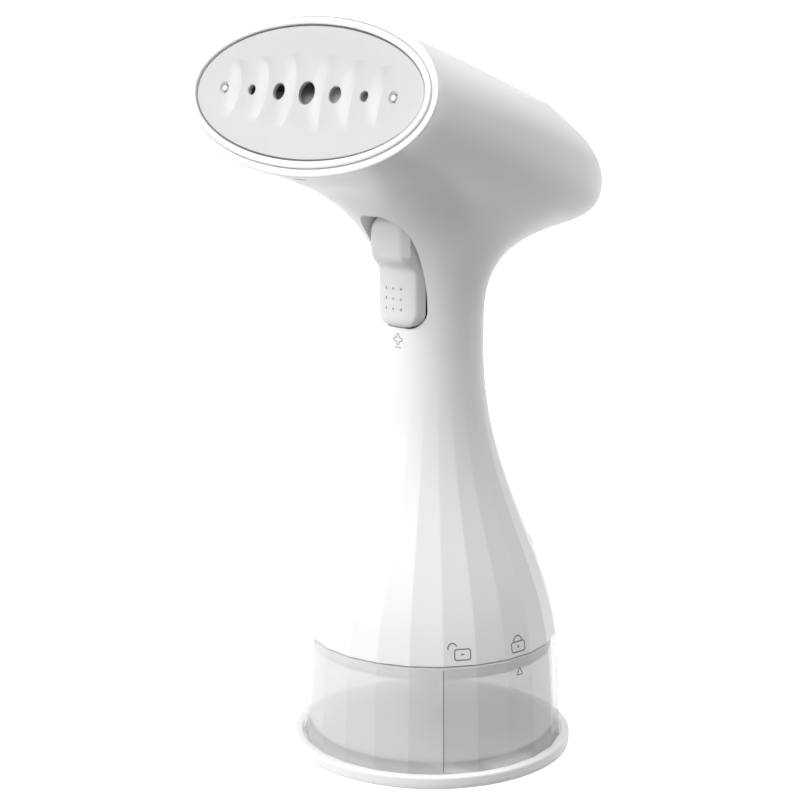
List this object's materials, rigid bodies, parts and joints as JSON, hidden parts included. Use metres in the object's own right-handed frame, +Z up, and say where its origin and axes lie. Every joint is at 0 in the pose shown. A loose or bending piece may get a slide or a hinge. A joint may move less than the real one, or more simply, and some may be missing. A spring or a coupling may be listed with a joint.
{
  "type": "garment steamer",
  "caption": "Handheld garment steamer: bottle-shaped body with a slim grip and trigger, a wide oval steam head looking slightly up, and a clear twist-off water tank as its foot.",
  "frame": {"origin": "centre of the foot pad's underside, on the axis of the tank and the grip", "axes": "+Z up along the grip, -Y forwards out of the steam face, +X to the object's left as a person faces it from the front"},
  "size_m": [0.1204, 0.1367, 0.2713],
  "materials": {
    "white_shell": "satin gloss white moulded plastic",
    "tank_smoke": "clear smoke-tinted polymer, polished",
    "trigger_grey": "fine satin, very light grey",
    "panel_grey": "satin coated steam panel, light grey",
    "inner_white": "natural white moulded plastic",
    "rubber_grey": "matte soft rubber",
    "silicone": "translucent silicone",
    "gasket_red": "high-temperature silicone",
    "steel": "zinc-plated steel",
    "alloy": "die-cast aluminium",
    "brass": "machined brass",
    "dark_plastic": "dark moulded plastic",
    "board_green": "lacquered circuit board",
    "wire_white": "silicone wire insulation",
    "mica": "mica sheet"
  },
  "bodies": {
    "housing": {"main_housing": "white_shell", "dock_cover": "inner_white", "dock_screws": "steel", "pump_mounts": "rubber_grey", "pump_yoke": "steel", "pump_coil": "dark_plastic", "pump_tube": "inner_white", "pump_spring": "steel", "suction_hose": "silicone", "supply_hose": "silicone", "hose_clips": "steel", "hose_sleeves": "rubber_grey", "control_board": "board_green", "board_components": "dark_plastic", "terminal_block": "inner_white", "cord_gland": "white_shell", "gland_nut": "inner_white", "neck_chassis": "inner_white", "chassis_screws": "steel", "switch_body": "dark_plastic", "trigger_pin": "steel", "trigger_spring": "steel", "front_bezel": "white_shell", "steam_panel": "panel_grey", "panel_pins": "white_shell", "panel_gasket": "gasket_red", "heater_block": "alloy", "heating_element": "steel", "heater_lid": "alloy", "heater_screws": "steel", "heater_carrier": "dark_plastic", "carrier_screws": "steel", "thermostat": "dark_plastic", "thermal_fuse": "steel", "steam_inlet": "brass", "heat_shield": "mica", "heater_leads": "wire_white"},
    "trigger": {"trigger": "trigger_grey"},
    "switch_plunger": {"switch_plunger": "gasket_red"},
    "pump_plunger": {"pump_plunger": "steel"},
    "dock_ring": {"dock_seal": "silicone"},
    "tank": {"foot_pad": "rubber_grey", "base_disc": "white_shell", "tank_shell": "tank_smoke", "tank_lid": "inner_white", "tank_lid_seal": "silicone", "suction_tube": "silicone", "suction_strainer": "steel"},
    "filler_plug": {"filler_plug": "silicone"}
  },
  "joints": [
    {"name": "trigger_press", "type": "hinge", "parent": "housing", "child": "trigger", "pos_m": [0, -0.0126, 0.196], "axis": [1, 0, 0], "range_deg": [0, 4.5], "stiffness_Nm_per_rad": 0.3, "springref_deg": -8.59, "deforming": ["trigger_spring"]},
    {"name": "switch_push", "type": "slide", "parent": "housing", "child": "switch_plunger", "axis": [0, 1, 0], "range_m": [0, 0.0022]},
    {"name": "pump_stroke", "type": "slide", "parent": "housing", "child": "pump_plunger", "axis": [0, 0, 1], "range_m": [-0.002, 0.002], "stiffness_N_per_m": 400, "springref_m": 0.00025, "deforming": ["pump_spring"]},
    {"name": "tank_twist", "type": "hinge", "parent": "housing", "child": "dock_ring", "pos_m": [0, 0, 0.0484], "axis": [0, 0, -1], "range_deg": [0, 30]},
    {"name": "tank_drop", "type": "slide", "parent": "dock_ring", "child": "tank", "axis": [0, 0, -1], "range_m": [0, 0.06]},
    {"name": "plug_pull", "type": "slide", "parent": "tank", "child": "filler_plug", "axis": [0, 0, 1], "range_m": [0, 0.009]}
  ],
  "couplings": [
    {"joint": "switch_push", "follows": "trigger_press", "m_per_rad": 0.025}
  ]
}
